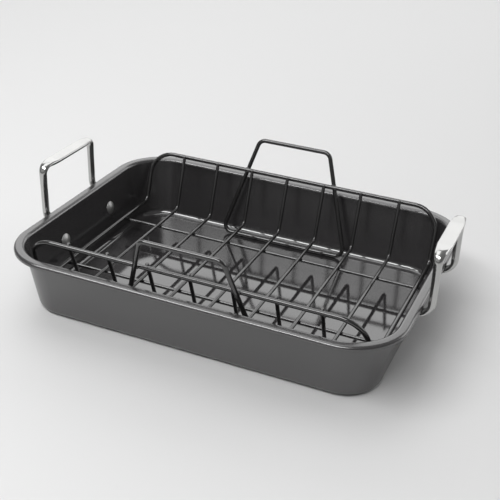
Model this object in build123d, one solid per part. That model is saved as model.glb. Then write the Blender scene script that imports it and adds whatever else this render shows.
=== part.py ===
from build123d import *
import os
from math import atan, cos, degrees, radians, sin, tan

# A roasting pan pressed from coated sheet steel, with a riveted rod handle at each end,
# and a welded wire rack that cradles the roast and lifts straight out.
# Lengths are in millimetres. The origin is the centre of the pan's base, on the table,
# with +X along the pan and +Z up.

# Pan body
rim_length = 410.0
rim_width = 302.0
rim_corner_radius = 58.0
pan_height = 69.0
sheet = 1.2
flange_width = 9.5
wall_draft = 10.0
base_bend = 8.0
rim_bend = 4.0
lip_bend = 2.2
lip_depth = 4.2
floor_margin = 45.0

# Pan handles, each one steel rod flattened at the grip and at its two riveted tabs
leg_spacing = 91.0
leg_size = 7.5
leg_gap = 3.0
handle_height = 121.0
handle_bend = 8.0
handle_taper = 13.0
grip_width = 15.0
grip_thickness = 3.6
tab_width = 14.0
tab_thickness = 2.6
tab_drop = 8.0
tab_rise = 11.5
tab_corner = 6.2
joggle_rise = 7.0
joggle_bend = 5.0
joggle_sweep = 12.0

# Rivets, one through each tab
rivet_height = 37.5
rivet_shank = 5.0
rivet_play = 0.05
inner_head = 14.5
inner_head_rise = 2.8
outer_head = 8.5
outer_head_rise = 1.8
head_edge = 0.5

# Rack frame and its wires
rack_end_inset = 30.0
rail_inset = 24.5
rail_height = 82.0
rack_side_angle = 18.6
frame_wire = 4.8
frame_corner_radius = 27.0
frame_floor_bend = 9.0
rib_count = 7
rib_wire = 3.8
rib_bend = 7.0
rib_end = 2.6
floor_wire = 3.8
floor_wire_height = 20.0
floor_wire_spacing = 118.0
floor_wire_overhang = 1.0
weld_gap = 0.15

# Rack handles, each a closed ring that also stands on the pan's floor
ring_wire = 4.8
ring_height = 119.0
ring_top_width = 84.0
ring_splay = 17.0
ring_tilt = 12.5
ring_bend = 9.0
rest_gap = 0.3

# Round forms are made of this many flats
wire_sides = 10
wire_step_angle = 22.5
rod_step_angle = 10.0
sheet_bend_steps = 3
rivet_sides = 16
dome_angles = (0, 35, 65)
# A rod's corners are cut back by this share of its thinner side
rod_corner_share = 0.29
# Shares of a leg's taper that are done where the bend under the grip starts and ends
taper_shares = (0.12, 0.6)
# The pan is alike at both ends and along both sides
both_signs = (1, -1)

os.makedirs("parts", exist_ok=True)


# Pan body: one section, bent from floor to lip, carried round the four sides

def wall_run(rise):
    """How far the outer face of a wall leans out over a rise."""
    return rise * tan(radians(wall_draft))


def outer_wall(half_size, height):
    """Where the outer face of a wall stands, at a height above the table."""
    return half_size - flange_width - wall_run(pan_height - height)


def pan_section():
    """The bent sheet, with its outer edge at x = 0 and the pan's inside at -x."""
    half = sheet / 2
    lean = half / cos(radians(wall_draft))
    centre_line = FilletPolyline(
        (-floor_margin, half),
        (outer_wall(0, half) - lean, half),
        (outer_wall(0, pan_height - half) - lean, pan_height - half),
        (-half, pan_height - half),
        (-half, pan_height - lip_depth),
        radius=[base_bend - half, rim_bend - half, lip_bend - half],
    )
    inside = []
    outside = []
    for edge in centre_line.edges():
        steps = sheet_bend_steps if edge.geom_type == GeomType.CIRCLE else 1
        for step in range(steps + 1):
            point = edge @ (step / steps)
            along = edge % (step / steps)
            across = Vector(-along.Y, along.X) * half
            inside.append(point + across)
            outside.append(point - across)
    return Plane.XZ * Polygon(*inside, *reversed(outside), align=None)


def pan_ring():
    """Four straight walls and four turned corners, as one shell."""
    section = pan_section()
    run_x = rim_length / 2 - rim_corner_radius
    run_y = rim_width / 2 - rim_corner_radius
    side = extrude(Pos(rim_length / 2, -run_y, 0) * section, 2 * run_y, dir=(0, 1, 0))
    front = extrude(
        Pos(run_x, -rim_width / 2, 0) * Rot(0, 0, -90) * section, 2 * run_x, dir=(-1, 0, 0)
    )
    corner = revolve(Pos(rim_corner_radius, 0, 0) * section, Axis.Z, revolution_arc=90)
    ring = [side, Rot(0, 0, 180) * side, front, Rot(0, 0, 180) * front]
    for turn, sign_x, sign_y in ((0, 1, 1), (90, -1, 1), (180, -1, -1), (270, 1, -1)):
        ring.append(Pos(sign_x * run_x, sign_y * run_y, 0) * Rot(0, 0, turn) * corner)
    return ring


def pan_floor():
    """The flat middle of the sheet."""
    outline = RectangleRounded(
        rim_length - 2 * floor_margin,
        rim_width - 2 * floor_margin,
        rim_corner_radius - floor_margin,
    )
    return extrude(outline, sheet)


def end_wall_plane(height, side_shift):
    """A plane on the outer face of the +X wall, its own +Y running up the wall."""
    normal = (cos(radians(wall_draft)), 0, -sin(radians(wall_draft)))
    foot = (outer_wall(rim_length / 2, height), side_shift, height)
    return Plane(origin=foot, x_dir=(0, 1, 0), z_dir=normal)


def rivet_hole(side_shift):
    """The hole of one rivet, through the tab and the wall."""
    span = 4 * (sheet + tab_thickness)
    hole = Cylinder(rivet_shank / 2 + rivet_play, span)
    return end_wall_plane(rivet_height, side_shift) * hole


def pan_body():
    pan = pan_floor().fuse(*pan_ring()).clean()
    for end in both_signs:
        for side in both_signs:
            pan -= Rot(0, 0, 90 - 90 * end) * rivet_hole(side * leg_spacing / 2)
    return pan


# Rods and wires: a section carried along straight runs and round bends

def swung(plane, axis, angle):
    """A plane swung about an axis in space."""
    spin = Axis((0, 0, 0), axis.direction)
    origin = Vertex(*plane.origin).rotate(axis, angle).center()
    x_dir = Vertex(*plane.x_dir).rotate(spin, angle).center()
    z_dir = Vertex(*plane.z_dir).rotate(spin, angle).center()
    return Plane(origin=origin, x_dir=x_dir, z_dir=z_dir)


def stations_along(points, radii, step_angle, across):
    """Planes square to a path, in groups: its start, each bend or plain point, and its end."""
    corners = [Vector(*point) for point in points]
    groups = [[Plane(origin=corners[0], x_dir=across, z_dir=corners[1] - corners[0])]]
    for before, corner, after, radius in zip(corners, corners[1:], corners[2:], radii):
        inward = (corner - before).normalized()
        outward = (after - corner).normalized()
        turn = inward.get_angle(outward)
        start = corner - inward * radius * tan(radians(turn / 2))
        last = groups[-1][-1]
        entry = Plane(origin=start, x_dir=last.x_dir, z_dir=last.z_dir)
        groups.append([entry])
        if radius > 0:
            hinge = inward.cross(outward).normalized()
            swing = Axis(start + hinge.cross(inward) * radius, hinge)
            steps = max(1, round(turn / step_angle))
            for step in range(1, steps + 1):
                groups[-1].append(swung(entry, swing, turn * step / steps))
    last = groups[-1][-1]
    groups.append([Plane(origin=corners[-1], x_dir=last.x_dir, z_dir=last.z_dir)])
    return groups


def bent_wire(points, radii, diameter, across):
    """Round wire along straight runs joined by bends."""
    outline = RegularPolygon(diameter / 2, wire_sides)
    stations = sum(stations_along(points, radii, wire_step_angle, across), [])
    return loft([station * outline for station in stations], ruled=True)


def with_mirror_image(piece, plane):
    """A piece joined to its mirror image across a plane that cuts it square."""
    return piece.fuse(mirror(piece, plane)).clean()


# Pan handles: flat tab, joggle under the rim, round leg, and flat grip

def rod_section(width, depth):
    """A rod's outline where it is this wide and this thick, with its corners cut back."""
    x = width / 2
    y = depth / 2
    cut = rod_corner_share * min(width, depth)
    corner = [(x, y - cut), (x - cut, y)]
    quarter = [(x, cut - y)] + corner
    top = [(cut - x, y), (-x, y - cut), (-x, cut - y)]
    bottom = [(cut - x, -y), (x - cut, -y)]
    return Polygon(*quarter, *top, *bottom, align=None)


def part_way(start, end, share):
    """A (width, depth) that is this share of the way from one to another."""
    return [a + (b - a) * share for a, b in zip(start, end)]


def handle_tab():
    """The flat end of the rod, on the wall, with its rivet hole."""
    outline = Pos(0, (tab_rise - tab_drop) / 2) * Rectangle(tab_width, tab_rise + tab_drop)
    lower = outline.vertices().sort_by(Axis.Y)[:2]
    tab = extrude(chamfer(lower, tab_corner), tab_thickness)
    return end_wall_plane(rivet_height, leg_spacing / 2) * tab - rivet_hole(leg_spacing / 2)


def handle_path():
    """The middle of the +X rod, from the top of its tab to the middle of its grip."""
    side_y = leg_spacing / 2
    leg_x = rim_length / 2 + leg_gap + leg_size / 2
    grip_z = handle_height - grip_thickness / 2
    taper_run = handle_bend + handle_taper
    wall_plane = end_wall_plane(rivet_height, side_y)
    tab_top = wall_plane.from_local_coords((0, tab_rise, tab_thickness / 2))
    turn = wall_plane.from_local_coords((0, tab_rise + joggle_bend, tab_thickness / 2))
    return [
        tab_top,
        turn,
        (leg_x, side_y, turn.Z + joggle_rise),
        (leg_x, side_y, grip_z - taper_run),
        (leg_x, side_y, grip_z),
        (leg_x, side_y - taper_run, grip_z),
        (leg_x, 0, grip_z),
    ]


def handle_rod():
    """Half of the +X rod above its tab, which swells to the leg and flattens to the grip."""
    radii = [joggle_bend, joggle_sweep, 0, handle_bend, 0]
    tab = (tab_width, tab_thickness)
    leg = (leg_size, leg_size)
    grip = (grip_thickness, grip_width)
    taper = [part_way(leg, grip, share) for share in taper_shares]
    spans = [(tab, tab), (tab, tab), (tab, leg), (leg, leg), taper, (grip, grip), (grip, grip)]
    groups = stations_along(handle_path(), radii, rod_step_angle, (0, 1, 0))
    sections = []
    for planes, (start, end) in zip(groups, spans):
        for number, plane in enumerate(planes):
            width, depth = part_way(start, end, number / max(1, len(planes) - 1))
            sections.append(plane * rod_section(width, depth))
    return loft(sections, ruled=True)


def pan_handle():
    """The whole handle of the +X end."""
    return with_mirror_image(handle_rod().fuse(handle_tab()), Plane.XZ)


# Rivets: a shank with a low domed head inside the pan and a small set head outside

def rivet_head(diameter, rise):
    """A domed head that stands on the XY plane, built up in flat-sided courses."""
    base = RegularPolygon(diameter / 2, rivet_sides)
    apothem = diameter / 2 * cos(radians(180 / rivet_sides))
    head = extrude(base, head_edge)
    reach = (rise - head_edge) / sin(radians(dome_angles[-1]))
    for low, high in zip(dome_angles, dome_angles[1:]):
        height = reach * (sin(radians(high)) - sin(radians(low)))
        inset = apothem * (cos(radians(low)) - cos(radians(high)))
        top = head.faces().sort_by(Axis.Z)[-1]
        head = head.fuse(extrude(top, height, taper=degrees(atan(inset / height))))
    return head


def rivet(side):
    """One rivet of the +X end, standing across the wall and the tab."""
    grip = sheet + tab_thickness
    shank = extrude(RegularPolygon(rivet_shank / 2, rivet_sides), grip)
    inner = Rot(180, 0, 0) * rivet_head(inner_head, inner_head_rise)
    outer = Pos(0, 0, grip) * rivet_head(outer_head, outer_head_rise)
    whole = shank.fuse(inner, outer)
    return end_wall_plane(rivet_height, side * leg_spacing / 2) * Pos(0, 0, -sheet) * whole


# Rack wires

rack_length = rim_length - 2 * rack_end_inset
rail_side = rim_width / 2 - rail_inset
frame_floor_height = floor_wire_height + (floor_wire + frame_wire) / 2 + weld_gap
rib_floor_height = floor_wire_height + (floor_wire + rib_wire) / 2 + weld_gap


def frame_side(height):
    """Half the frame's width at a height, measured to the middle of its wire."""
    return rail_side - tan(radians(rack_side_angle)) * (rail_height - height)


def rack_frame():
    """One closed wire: two rails joined at each end by a wire that dips to the floor."""
    end_x = rack_length / 2
    foot_side = frame_side(frame_floor_height)
    points = [
        (0, -rail_side, rail_height),
        (end_x, -rail_side, rail_height),
        (end_x, -foot_side, frame_floor_height),
        (end_x, 0, frame_floor_height),
    ]
    radii = [frame_corner_radius, frame_floor_bend]
    quarter = bent_wire(points, radii, frame_wire, (0, 0, 1))
    return with_mirror_image(with_mirror_image(quarter, Plane.XZ), Plane.YZ)


def rack_rib(shift):
    """One U-shaped rib, welded inside the rails, with its ends just above them."""
    lean = cos(radians(rack_side_angle))
    inset = ((frame_wire + rib_wire) / 2 + weld_gap) / lean
    tip_z = rail_height + rib_end * lean
    corner_side = frame_side(rib_floor_height) - inset
    tip_side = frame_side(tip_z) - inset
    points = [
        (shift, -tip_side, tip_z),
        (shift, -corner_side, rib_floor_height),
        (shift, corner_side, rib_floor_height),
        (shift, tip_side, tip_z),
    ]
    return bent_wire(points, [rib_bend, rib_bend], rib_wire, (1, 0, 0))


def floor_runner(side):
    """A straight wire under the ribs, from one end of the frame to the other."""
    length = rack_length + frame_wire + 2 * floor_wire_overhang
    start = (-length / 2, side * floor_wire_spacing / 2, floor_wire_height)
    outline = Plane(origin=start, z_dir=(1, 0, 0)) * RegularPolygon(floor_wire / 2, wire_sides)
    return extrude(outline, length)


def rack_handle(side):
    """A closed ring outside the rail: its top is the handle and its bottom is a foot."""
    tilt = radians(ring_tilt)
    gap = ((frame_wire + ring_wire) / 2 + weld_gap) / cos(tilt)
    top_z = ring_height - ring_wire / 2
    foot_z = sheet + rest_gap + ring_wire / 2
    spread = (top_z - foot_z) * tan(radians(ring_splay))
    top_y = side * (rail_side + gap + (top_z - rail_height) * tan(tilt))
    foot_y = side * (rail_side + gap + (foot_z - rail_height) * tan(tilt))
    points = [
        (0, top_y, top_z),
        (ring_top_width / 2, top_y, top_z),
        (ring_top_width / 2 + spread, foot_y, foot_z),
        (0, foot_y, foot_z),
    ]
    across = (0, cos(tilt), -side * sin(tilt))
    half = bent_wire(points, [ring_bend, ring_bend], ring_wire, across)
    return with_mirror_image(half, Plane.YZ)


# Every piece, under its own name

pieces = {"pan_body": pan_body()}
handle = pan_handle()
for end, end_name in ((1, "right"), (-1, "left")):
    half_turn = Rot(0, 0, 90 - 90 * end)
    pieces["handle_" + end_name] = half_turn * handle
    for side, side_name in ((-1, "front"), (1, "back")):
        pieces["rivet_" + end_name + "_" + side_name] = half_turn * rivet(side * end)
pieces["rack_frame"] = rack_frame()
rib_pitch = rack_length / (rib_count + 1)
for number in range(1, rib_count + 1):
    pieces["rack_rib_" + str(number)] = rack_rib(number * rib_pitch - rack_length / 2)
for side, side_name in ((-1, "front"), (1, "back")):
    pieces["rack_runner_" + side_name] = floor_runner(side)
    pieces["rack_handle_" + side_name] = rack_handle(side)

for name, piece in pieces.items():
    export_step(piece, "parts/" + name + ".step")
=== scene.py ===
from math import asin, cos, pi, radians, sin, sqrt, tan

import bmesh
import bpy
from mathutils import Matrix, Vector


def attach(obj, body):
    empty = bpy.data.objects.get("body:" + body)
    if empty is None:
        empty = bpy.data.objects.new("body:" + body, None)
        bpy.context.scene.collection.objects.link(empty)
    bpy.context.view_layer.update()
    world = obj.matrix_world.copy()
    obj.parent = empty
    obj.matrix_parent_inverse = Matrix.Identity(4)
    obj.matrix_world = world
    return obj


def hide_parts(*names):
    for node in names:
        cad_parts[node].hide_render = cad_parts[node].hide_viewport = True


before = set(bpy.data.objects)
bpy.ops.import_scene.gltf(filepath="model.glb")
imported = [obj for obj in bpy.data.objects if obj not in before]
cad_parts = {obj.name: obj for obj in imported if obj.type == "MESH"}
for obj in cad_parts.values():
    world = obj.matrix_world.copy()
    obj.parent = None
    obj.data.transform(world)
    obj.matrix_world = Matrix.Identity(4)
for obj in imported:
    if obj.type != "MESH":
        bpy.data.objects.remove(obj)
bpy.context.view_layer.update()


# Pan: one sheet of 1.2 mm carbon steel, pressed into a deep tray with drafted walls,
# a flat flange and an edge turned down, then sprayed inside and out with a dark
# grey-brown nonstick coating that is smooth and glossy on the floor.

sheet_thickness = 0.0012
pan_height = 0.069
lip_foot = 0.0648
draft = radians(10)
corner_radius = 0.058
corner_x, corner_y = 0.147, 0.093
flange_width = 0.01072
lip_bend, rim_bend, floor_bend = 0.0030, 0.0034, 0.0057
outline_steps, bend_steps = 80, 6
coat_dark, coat_light = (0.023, 0.022, 0.023, 1), (0.036, 0.034, 0.035, 1)
coat_rough_floor, coat_rough_wall = 0.07, 0.24
gloss_ends_above, satin_starts_at = 0.0015, 0.009


def edges_of(verts):
    """The edges that touch these vertices."""
    return list(dict.fromkeys(edge for vert in verts for edge in vert.link_edges))


def rim_loop(mesh, inset, height):
    """A rounded rectangle that lies this far inside the pan's outer edge."""
    radius = corner_radius - inset
    made = bmesh.ops.create_circle(mesh, segments=outline_steps, radius=radius)["verts"]
    half_step = Matrix.Rotation(pi / outline_steps, 3, "Z")
    bmesh.ops.rotate(mesh, verts=made, matrix=half_step)
    for vert in made:
        side_x = 1 if vert.co.x > 0 else -1
        side_y = 1 if vert.co.y > 0 else -1
        vert.co += Vector((side_x * corner_x, side_y * corner_y, height))
    return edges_of(made)


def finish_piece(name, mesh, material, body, node):
    """Makes a piece's object, shades it smooth and ties it to its body and its node."""
    data = bpy.data.meshes.new(name)
    mesh.to_mesh(data)
    mesh.free()
    data.materials.append(material)
    data.shade_smooth()
    piece = bpy.data.objects.new(name, data)
    bpy.context.scene.collection.objects.link(piece)
    piece.modifiers.new("even_shading", "WEIGHTED_NORMAL")
    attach(piece, body)
    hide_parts(node)
    return piece


def start_finish(name):
    """A new material, with its nodes, its linking call, its shader and the piece's own places."""
    material = bpy.data.materials.new(name)
    material.use_nodes = True
    nodes = material.node_tree.nodes
    place = nodes.new("ShaderNodeTexCoord").outputs["Object"]
    return material, nodes, material.node_tree.links.new, nodes["Principled BSDF"], place


def mottle(nodes, link, place, scale, detail):
    """An irregular pattern over the piece."""
    noise = nodes.new("ShaderNodeTexNoise")
    noise.inputs["Scale"].default_value = scale
    noise.inputs["Detail"].default_value = detail
    link(place, noise.inputs["Vector"])
    return noise.outputs["Fac"]


def tint_by(nodes, link, pattern, dark, light, first=0, last=1):
    """A colour that goes from dark to light with the pattern, between two of its values."""
    ramp = nodes.new("ShaderNodeValToRGB")
    ends = ramp.color_ramp.elements
    ends[0].color, ends[0].position = dark, first
    ends[1].color, ends[1].position = light, last
    link(pattern, ramp.inputs["Fac"])
    return ramp.outputs["Color"]


def range_by(nodes, link, pattern, least, most, first=0, last=1):
    """A value that goes from least to most with the pattern, between two of its values."""
    spread = nodes.new("ShaderNodeMapRange")
    spread.inputs["From Min"].default_value = first
    spread.inputs["From Max"].default_value = last
    spread.inputs["To Min"].default_value = least
    spread.inputs["To Max"].default_value = most
    link(pattern, spread.inputs["Value"])
    return spread.outputs["Result"]


def bump_by(nodes, link, pattern, strength, depth):
    """A relief that follows the pattern."""
    bump = nodes.new("ShaderNodeBump")
    bump.inputs["Strength"].default_value = strength
    bump.inputs["Distance"].default_value = depth
    link(pattern, bump.inputs["Height"])
    return bump


def pan_coating():
    """Dark grey-brown coating: glossy on the floor, satin up the walls, finely grained."""
    material, nodes, link, shader, place = start_finish("pan_nonstick")
    shader.inputs["IOR"].default_value = 2.1
    grain = mottle(nodes, link, place, scale=900, detail=4)
    swell = mottle(nodes, link, place, scale=9, detail=2)
    tint = tint_by(nodes, link, grain, coat_dark, coat_light, first=0.35, last=0.7)
    link(tint, shader.inputs["Base Color"])
    height = nodes.new("ShaderNodeSeparateXYZ")
    link(place, height.inputs["Vector"])
    sprayed = range_by(
        nodes, link, height.outputs["Z"], coat_rough_floor, coat_rough_wall,
        first=gloss_ends_above, last=satin_starts_at,
    )
    patchy = range_by(nodes, link, grain, least=0.8, most=1.2)
    rough = nodes.new("ShaderNodeMath")
    rough.operation = "MULTIPLY"
    link(sprayed, rough.inputs[0])
    link(patchy, rough.inputs[1])
    link(rough.outputs["Value"], shader.inputs["Roughness"])
    pressed = bump_by(nodes, link, swell, strength=0.1, depth=0.001)
    grained = bump_by(nodes, link, grain, strength=0.04, depth=0.0002)
    link(pressed.outputs["Normal"], grained.inputs["Normal"])
    link(grained.outputs["Normal"], shader.inputs["Normal"])
    return material


pan = bmesh.new()
wall_run = (pan_height - sheet_thickness) * tan(draft)
lip_end = rim_loop(pan, 0, lip_foot)
lip_top = rim_loop(pan, 0, pan_height)
wall_top = rim_loop(pan, flange_width, pan_height)
wall_foot = rim_loop(pan, flange_width + wall_run, sheet_thickness)
for first, second in ((lip_end, lip_top), (lip_top, wall_top), (wall_top, wall_foot)):
    bmesh.ops.bridge_loops(pan, edges=first + second)
bmesh.ops.holes_fill(pan, edges=wall_foot)
for loop, width in ((lip_top, lip_bend), (wall_top, rim_bend), (wall_foot, floor_bend)):
    bmesh.ops.bevel(
        pan, geom=loop, offset=width, offset_type="OFFSET", affect="EDGES",
        segments=bend_steps, profile=0.5, material=-1,
    )
bmesh.ops.recalc_face_normals(pan, faces=pan.faces)
if sum(face.normal.z * face.calc_area() for face in pan.faces) < 0:
    bmesh.ops.reverse_faces(pan, faces=pan.faces)
shell = finish_piece("pan_shell", pan, pan_coating(), "pan", "pan_body")
sheet = shell.modifiers.new("sheet", "SOLIDIFY")
sheet.thickness = sheet_thickness
sheet.offset = -1
sheet.use_even_offset = True
shell.modifiers.move(1, 0)


# Pan handles: one polished stainless rod at each end, forged flat at the grip and at
# its two tabs. It rises from the outside of the end wall, clears the rim by a joggle
# and bends over into a wide flat grip.

wall_out = 0.1955
rivet_height = 0.0375
rivet_out = wall_out - tan(draft) * (pan_height - rivet_height)
leg_side, leg_out = 0.0455, 0.21175
grip_height = 0.1192
tab, leg, grip = (0.014, 0.0026), (0.0075, 0.0075), (0.0036, 0.015)
tab_drop, tab_rise, joggle_rise = 0.001, 0.0165, 0.007
tab_end_angles = (85, 70, 55, 40, 25, 10, 0)
low_bend, high_bend, grip_bend = 0.005, 0.012, 0.008
swell_start, swell_in_bend, swell_past_bend = 0.021, 0.12, 0.6
flat_run, flat_pace = 0.013, 1.9
edge_round = 0.42
rod_sides, rod_bend_steps, flat_steps = 32, 8, 10
seam = 0.00001
steel_dark, steel_light = (0.45, 0.45, 0.445, 1), (0.53, 0.53, 0.52, 1)


def rod_ring(mesh, place, width, depth, flat):
    """A rod's outline at one place: round, or flat over this share of its two broad sides."""
    edge = edge_round * min(width, depth)
    round_x = width / 2 + (edge - width / 2) * flat
    round_y = depth / 2 + (edge - depth / 2) * flat
    made = bmesh.ops.create_circle(mesh, segments=rod_sides, radius=1)["verts"]
    bmesh.ops.rotate(mesh, verts=made, matrix=Matrix.Rotation(pi / rod_sides, 3, "Z"))
    for vert in made:
        side_x = 1 if vert.co.x > 0 else -1
        side_y = 1 if vert.co.y > 0 else -1
        vert.co.x = vert.co.x * round_x + side_x * (width / 2 - round_x)
        vert.co.y = vert.co.y * round_y + side_y * (depth / 2 - round_y)
    bmesh.ops.transform(mesh, verts=made, matrix=place)
    return edges_of(made)


def between(before, after, share):
    """A rod's width and depth at this share of the way from one to the other."""
    return [a + (b - a) * share for a, b in zip(before, after)]


def handle_stations():
    """Places along half of the +X rod, each with its heading, width, depth and flatness."""
    up_wall = Vector((sin(draft), 0, cos(draft)))
    off_wall = Vector((cos(draft), 0, -sin(draft)))
    middle = Vector((rivet_out, leg_side, rivet_height)) + off_wall * (tab[1] / 2)
    tab_top = middle + up_wall * tab_rise
    joggle_top = Vector((leg_out, leg_side, tab_top.z + joggle_rise))
    leg_top = Vector((leg_out, leg_side, grip_height))
    grip_middle = Vector((leg_out, 0, grip_height))
    stations = []
    for angle in tab_end_angles:
        width = tab[0] * cos(radians(angle))
        drop = tab_drop + tab[0] / 2 * sin(radians(angle))
        stations.append((middle - up_wall * drop, up_wall, (width, tab[1]), 1))
    bends = (
        (tab_top, joggle_top, low_bend, tab, tab, (0, 1), (1, 1)),
        (joggle_top, leg_top, high_bend, tab, leg, (0, 1), (1, 0)),
        (leg_top, grip_middle, grip_bend, leg, grip, (swell_in_bend, swell_past_bend), (0, 0)),
    )
    heading = up_wall
    for corner, onward, radius, before, after, shares, flats in bends:
        ahead = (onward - corner).normalized()
        turn = heading.angle(ahead)
        start = corner - heading * radius * tan(turn / 2)
        hinge = heading.cross(ahead).normalized()
        centre = start + hinge.cross(heading) * radius
        if after is grip:
            stations.append((corner - heading * swell_start, heading, leg, 0))
        for step in range(rod_bend_steps + 1):
            run = step / rod_bend_steps
            swing = Matrix.Rotation(turn * run, 3, hinge)
            size = between(before, after, shares[0] + (shares[1] - shares[0]) * run)
            flat = flats[0] + (flats[1] - flats[0]) * run
            stations.append((centre + swing @ (start - centre), swing @ heading, size, flat))
        heading = ahead
    for step in range(1, flat_steps + 1):
        run = step / flat_steps
        size = between(leg, grip, swell_past_bend + (1 - swell_past_bend) * run)
        flat = sqrt(1 - (1 - min(1, flat_pace * run)) ** 2)
        stations.append((leg_top + heading * (grip_bend + flat_run * run), heading, size, flat))
    stations.append((grip_middle, heading, grip, 1))
    return stations


def steel(name, least_rough, most_rough):
    """Stainless steel: faint smears in its tint and in how far it is polished."""
    material, nodes, link, shader, place = start_finish(name)
    shader.inputs["Metallic"].default_value = 1.0
    smear = mottle(nodes, link, place, scale=60, detail=5)
    link(tint_by(nodes, link, smear, steel_dark, steel_light), shader.inputs["Base Color"])
    link(range_by(nodes, link, smear, least_rough, most_rough), shader.inputs["Roughness"])
    return material


polished = steel("polished_stainless", least_rough=0.14, most_rough=0.24)
for end, name in ((1, "right"), (-1, "left")):
    rod = bmesh.new()
    last = None
    for centre, heading, (width, depth), flat in handle_stations():
        across = Vector((1, 0, 0)).cross(heading).normalized()
        turned = Matrix((across, heading.cross(across), heading)).transposed().to_4x4()
        ring = rod_ring(rod, Matrix.Translation(centre) @ turned, width, depth, flat)
        if last:
            bmesh.ops.bridge_loops(rod, edges=last + ring)
        else:
            bmesh.ops.holes_fill(rod, edges=ring)
        last = ring
    half = rod.verts[:] + rod.edges[:] + rod.faces[:]
    bmesh.ops.mirror(rod, geom=half, axis="Y", merge_dist=seam)
    bmesh.ops.remove_doubles(rod, verts=rod.verts, dist=seam)
    if end < 0:
        bmesh.ops.rotate(rod, verts=rod.verts, matrix=Matrix.Rotation(pi, 3, "Z"))
    bmesh.ops.recalc_face_normals(rod, faces=rod.faces)
    finish_piece(
        "pan_handle_" + name, rod, polished, "pan", "handle_" + name,
    )


# Rivets: four stainless rivets hold the tabs to the end walls, each with a broad low
# dome inside the pan and a smaller set head outside.

inner_radius, inner_rise, inner_edge = 0.00725, 0.0028, 0.0004
outer_radius, outer_rise, outer_edge = 0.00425, 0.0018, 0.0003
head_sides, dome_steps = 36, 8


def dome(mesh, place, radius, rise, edge):
    """A round head with a short upright edge and a domed top, spun about its axis."""
    height = rise - edge
    ball = (radius * radius + height * height) / (2 * height)
    widest = asin(radius / ball)
    outline = [Vector((radius, 0, 0))]
    for step in range(dome_steps + 1):
        angle = widest * (1 - step / dome_steps)
        outline.append(Vector((ball * sin(angle), 0, edge + ball * cos(angle) - (ball - height))))
    profile = [mesh.verts.new(place @ spot) for spot in outline]
    lines = [mesh.edges.new(pair) for pair in zip(profile, profile[1:])]
    bmesh.ops.spin(
        mesh, geom=profile + lines, cent=place.translation, axis=place.col[2].to_3d(),
        angle=2 * pi, steps=head_sides, use_merge=True,
    )


satin = steel("satin_stainless", least_rough=0.40, most_rough=0.52)
for end, end_name in ((1, "right"), (-1, "left")):
    for side, side_name in ((-1, "front"), (1, "back")):
        rivet = bmesh.new()
        hole = Matrix.Translation((rivet_out, side * end * leg_side, rivet_height))
        hole = hole @ Matrix.Rotation(radians(90) + draft, 4, "Y")
        outward = hole @ Matrix.Translation((0, 0, tab[1]))
        inward = hole @ Matrix.Translation((0, 0, -sheet_thickness)) @ Matrix.Rotation(pi, 4, "X")
        dome(rivet, outward, outer_radius, outer_rise, outer_edge)
        dome(rivet, inward, inner_radius, inner_rise, inner_edge)
        bmesh.ops.remove_doubles(rivet, verts=rivet.verts, dist=seam)
        bmesh.ops.holes_fill(rivet, edges=[edge for edge in rivet.edges if edge.is_boundary])
        if end < 0:
            bmesh.ops.rotate(rivet, verts=rivet.verts, matrix=Matrix.Rotation(pi, 3, "Z"))
        bmesh.ops.recalc_face_normals(rivet, faces=rivet.faces)
        name = end_name + "_" + side_name
        finish_piece(
            "rivet_head_" + name, rivet, satin, "pan", "rivet_" + name,
        )


# Rack frame: one 4.8 mm steel wire, welded into a closed ring. It runs along the two
# rails, round a wide bend at each corner, and dips to the level of the ribs at each end.
# The whole rack is dipped in a black nonstick coating after welding.

frame_wire = 0.0048
rail_side, rail_height = 0.1265, 0.082
frame_end, frame_low = 0.175, 0.02445
side_lean = radians(18.6)
rail_bend, dip_bend = 0.027, 0.009
wire_sides, wire_bend_steps = 16, 10
wire_seam, cut_round = 0.00005, 0.0006
rack_dark, rack_light = (0.010, 0.010, 0.010, 1), (0.018, 0.017, 0.017, 1)


def draw_out(mesh, ring, step):
    """Draws a ring of edges out into a straight run and returns the far ring."""
    drawn = bmesh.ops.extrude_edge_only(mesh, edges=ring)["geom"]
    verts = [item for item in drawn if isinstance(item, bmesh.types.BMVert)]
    bmesh.ops.translate(mesh, verts=verts, vec=step)
    edges = [item for item in drawn if isinstance(item, bmesh.types.BMEdge)]
    return [edge for edge in edges if edge.verts[0] in verts and edge.verts[1] in verts]


def bend_wire(mesh, corners, radii, thickness):
    """A round wire through these corners, bent at each inner one to its radius."""
    points = [Vector(corner) for corner in corners]
    heading = (points[1] - points[0]).normalized()
    turned = heading.to_track_quat("Z", "Y").to_matrix().to_4x4()
    place = Matrix.Translation(points[0]) @ turned
    made = bmesh.ops.create_circle(
        mesh, segments=wire_sides, radius=thickness / 2, matrix=place,
    )
    ring = edges_of(made["verts"])
    here = points[0]
    for corner, after, radius in zip(points[1:], points[2:], radii):
        onward = (after - corner).normalized()
        turn = heading.angle(onward)
        start = corner - heading * radius * tan(turn / 2)
        ring = draw_out(mesh, ring, start - here)
        hinge = heading.cross(onward).normalized()
        bent = bmesh.ops.spin(
            mesh, geom=ring, cent=start + hinge.cross(heading) * radius, axis=hinge,
            angle=turn, steps=wire_bend_steps,
        )["geom_last"]
        ring = [item for item in bent if isinstance(item, bmesh.types.BMEdge)]
        here = corner + onward * radius * tan(turn / 2)
        heading = onward
    draw_out(mesh, ring, points[-1] - here)


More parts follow.
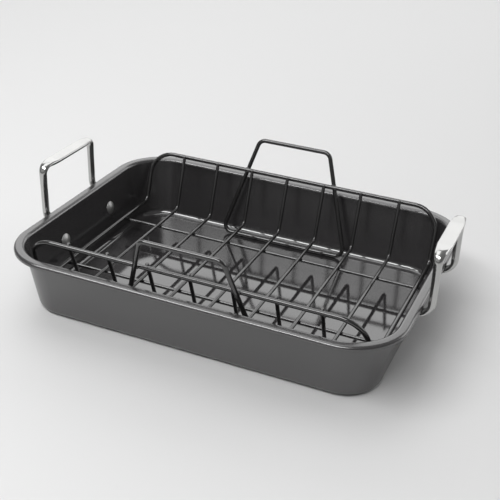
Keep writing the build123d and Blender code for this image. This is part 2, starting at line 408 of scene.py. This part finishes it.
def close_wire(mesh):
    """Welds the two ends of a ring of wire, or rounds off the two ends of an open one."""
    bmesh.ops.remove_doubles(mesh, verts=mesh.verts, dist=wire_seam)
    ends = [edge for edge in mesh.edges if edge.is_boundary]
    if ends:
        bmesh.ops.holes_fill(mesh, edges=ends)
        bmesh.ops.bevel(
            mesh, geom=ends, offset=cut_round, offset_type="OFFSET", affect="EDGES",
            segments=3, profile=0.5, material=-1,
        )
    bmesh.ops.recalc_face_normals(mesh, faces=mesh.faces)


def rack_coating():
    """Black coating on wire: semi-gloss, with a soft orange-peel from the dip."""
    material, nodes, link, shader, place = start_finish("rack_nonstick")
    shader.inputs["IOR"].default_value = 1.9
    peel = mottle(nodes, link, place, scale=350, detail=3)
    link(tint_by(nodes, link, peel, rack_dark, rack_light), shader.inputs["Base Color"])
    link(range_by(nodes, link, peel, least=0.09, most=0.15), shader.inputs["Roughness"])
    peeled = bump_by(nodes, link, peel, strength=0.02, depth=0.0002)
    link(peeled.outputs["Normal"], shader.inputs["Normal"])
    return material


rack_black = rack_coating()
side_slope = tan(side_lean)
low_side = rail_side - side_slope * (rail_height - frame_low)
dip = [
    (-rail_side, rail_height), (-low_side, frame_low),
    (low_side, frame_low), (rail_side, rail_height),
]
frame_corners = [(0, -rail_side, rail_height)]
frame_corners += [(frame_end, y, z) for y, z in dip]
frame_corners += [(-frame_end, y, z) for y, z in reversed(dip)]
frame_corners += [(0, -rail_side, rail_height)]
rails = bmesh.new()
bend_wire(rails, frame_corners, [rail_bend, dip_bend, dip_bend, rail_bend] * 2, frame_wire)
close_wire(rails)
finish_piece("rack_rails", rails, rack_black, "rack", "rack_frame")


# Ribs: seven 3.8 mm wires bent into a U. Each is welded to the inside of both rails, with
# its cut ends standing just above them, and to the two runners under it.

rib_wire = 0.0038
rib_count, rib_spacing = 7, 0.04375
rib_low = 0.02395
rib_bend = 0.007
rib_stand = 0.0026 * cos(side_lean)
weld_gap = 0.00015
rib_inset = ((frame_wire + rib_wire) / 2 + weld_gap) / cos(side_lean)
runner_side, runner_height = 0.059, 0.02
rail_weld, runner_weld = (0.0023, 0.0017, 0.0015), (0.0019, 0.0019, 0.0009)


def weld(mesh, spot, size):
    """A small welded nugget where two wires cross, flowed over by the coating."""
    place = Matrix.Translation(spot) @ Matrix.Diagonal((*size, 1))
    bmesh.ops.create_icosphere(mesh, subdivisions=3, radius=1, matrix=place)


tip_side = rail_side + side_slope * rib_stand - rib_inset
tip_height = rail_height + rib_stand
low_side = rail_side - side_slope * (rail_height - rib_low) - rib_inset
for number in range(1, rib_count + 1):
    x = number * rib_spacing - frame_end
    rib = bmesh.new()
    bend_wire(
        rib,
        [
            (x, -tip_side, tip_height), (x, -low_side, rib_low),
            (x, low_side, rib_low), (x, tip_side, tip_height),
        ],
        [rib_bend, rib_bend],
        rib_wire,
    )
    close_wire(rib)
    for side in (-1, 1):
        weld(rib, (x, side * (rail_side - rib_inset / 2), rail_height), rail_weld)
        weld(rib, (x, side * runner_side, (rib_low + runner_height) / 2), runner_weld)
    finish_piece(
        "rack_rib_wire_" + str(number), rib, rack_black, "rack",
        "rack_rib_" + str(number),
    )


# Runners: two straight 3.8 mm wires under the ribs, welded to them and to the frame's
# end wires, which they pass by a millimetre.

runner_end = 0.1784
end_weld, end_weld_height = (0.0021, 0.0021, 0.0009), 0.02198

for side, name in ((-1, "front"), (1, "back")):
    y = side * runner_side
    runner = bmesh.new()
    ends = [(-runner_end, y, runner_height), (runner_end, y, runner_height)]
    bend_wire(runner, ends, [], rib_wire)
    close_wire(runner)
    for end in (-1, 1):
        weld(runner, (end * frame_end, y, end_weld_height), end_weld)
    finish_piece(
        "rack_runner_wire_" + name, runner, rack_black, "rack",
        "rack_runner_" + name,
    )


# Rack handles: two rings of 4.8 mm wire, welded outside the rails. The top of each is
# a handle and its bottom bar stands on the pan's floor.

ring_tilt, ring_spread = radians(12.5), radians(17)
ring_top, ring_foot = 0.1166, 0.0039
ring_bend = 0.009
top_reach = 0.042
ring_weld = (0.0034, 0.0018, 0.0024)

ring_gap = (frame_wire + weld_gap) / cos(ring_tilt)
top_side = rail_side + ring_gap + (ring_top - rail_height) * tan(ring_tilt)
foot_side = rail_side + ring_gap + (ring_foot - rail_height) * tan(ring_tilt)
foot_reach = top_reach + (ring_top - ring_foot) * tan(ring_spread)
rail_reach = top_reach + (ring_top - rail_height) * tan(ring_spread)
for side, name in ((-1, "front"), (1, "back")):
    lift = bmesh.new()
    top_y, foot_y = side * top_side, side * foot_side
    bend_wire(
        lift,
        [
            (0, top_y, ring_top), (top_reach, top_y, ring_top),
            (foot_reach, foot_y, ring_foot), (-foot_reach, foot_y, ring_foot),
            (-top_reach, top_y, ring_top), (0, top_y, ring_top),
        ],
        [ring_bend] * 4,
        frame_wire,
    )
    close_wire(lift)
    for end in (-1, 1):
        spot = (end * rail_reach, side * (rail_side + ring_gap / 2), rail_height)
        weld(lift, spot, ring_weld)
    finish_piece(
        "rack_lift_" + name, lift, rack_black, "rack",
        "rack_handle_" + name,
    )


# Studio: a plain pale floor, five soft lamps and a grey surround that is lighter behind
# the pan than in front of it, so that the coating shows its gloss. The camera has the
# photograph's viewing angle.

floor_half = 4
floor_grey = (0.7, 0.7, 0.7, 1)
surround_grey = (0.8, 0.8, 0.8, 1)
to_the_back = (-0.39, 0.92, 0)
surround_front, surround_back = 0.2, 0.4
pan_middle = (0, 0, 0.05)
camera_place = (0.3422, -0.7862, 0.5160)
camera_turn, camera_dip, camera_roll = 22.99, 28.48, 2.02

floor_paint = bpy.data.materials.new("floor_paint")
floor_paint.use_nodes = True
floor_shader = floor_paint.node_tree.nodes["Principled BSDF"]
floor_shader.inputs["Base Color"].default_value = floor_grey
floor_shader.inputs["Roughness"].default_value = 0.6
ground = bmesh.new()
bmesh.ops.create_grid(ground, x_segments=1, y_segments=1, size=floor_half)
floor_data = bpy.data.meshes.new("floor")
ground.to_mesh(floor_data)
ground.free()
floor_data.materials.append(floor_paint)
floor = bpy.data.objects.new("floor", floor_data)
bpy.context.scene.collection.objects.link(floor)

world = bpy.data.worlds.new("studio")
bpy.context.scene.world = world
world.use_nodes = True
nodes, link = world.node_tree.nodes, world.node_tree.links.new
around = nodes.new("ShaderNodeTexCoord")
backward = nodes.new("ShaderNodeVectorMath")
backward.operation = "DOT_PRODUCT"
backward.inputs[1].default_value = to_the_back
link(around.outputs["Generated"], backward.inputs[0])
glow = range_by(
    nodes, link, backward.outputs["Value"], surround_front, surround_back, first=-1,
)
nodes["Background"].inputs["Color"].default_value = surround_grey
link(glow, nodes["Background"].inputs["Strength"])


def soft_lamp(name, place, target, width, height, power):
    """A rectangular soft lamp aimed at a point."""
    data = bpy.data.lights.new(name, "AREA")
    data.shape = "RECTANGLE"
    data.size = width
    data.size_y = height
    data.energy = power
    lamp = bpy.data.objects.new(name, data)
    lamp.location = place
    lamp.rotation_euler = (Vector(target) - Vector(place)).to_track_quat("-Z", "Y").to_euler()
    lamp.visible_camera = False
    bpy.context.scene.collection.objects.link(lamp)


soft_lamp("back_box", (-0.75, 1.75, 0.95), pan_middle, width=3.0, height=1.3, power=16.5)
soft_lamp("right_box", (1.35, 1.5, 0.8), pan_middle, width=1.6, height=1.0, power=8.5)
soft_lamp("top_box", (-0.6, 0.45, 1.6), (-0.6, 0.45, 0), width=1.2, height=1.5, power=9)
soft_lamp("key_box", (-0.35, -0.85, 1.35), (-0.05, -0.1, 0), width=1.8, height=0.45, power=19)
soft_lamp("front_box", (-0.6, -1.8, 0.85), pan_middle, width=2.8, height=0.9, power=2)

camera_data = bpy.data.cameras.new("camera")
camera_data.lens = 67.14
camera_data.sensor_width = 36
camera = bpy.data.objects.new("camera", camera_data)
turn = Matrix.Rotation(radians(camera_turn), 4, "Z")
tip = Matrix.Rotation(radians(90 - camera_dip), 4, "X")
roll = Matrix.Rotation(radians(camera_roll), 4, "Z")
camera.matrix_world = Matrix.Translation(camera_place) @ turn @ tip @ roll
bpy.context.scene.collection.objects.link(camera)
bpy.context.scene.camera = camera
bpy.context.scene.view_settings.view_transform = "Standard"
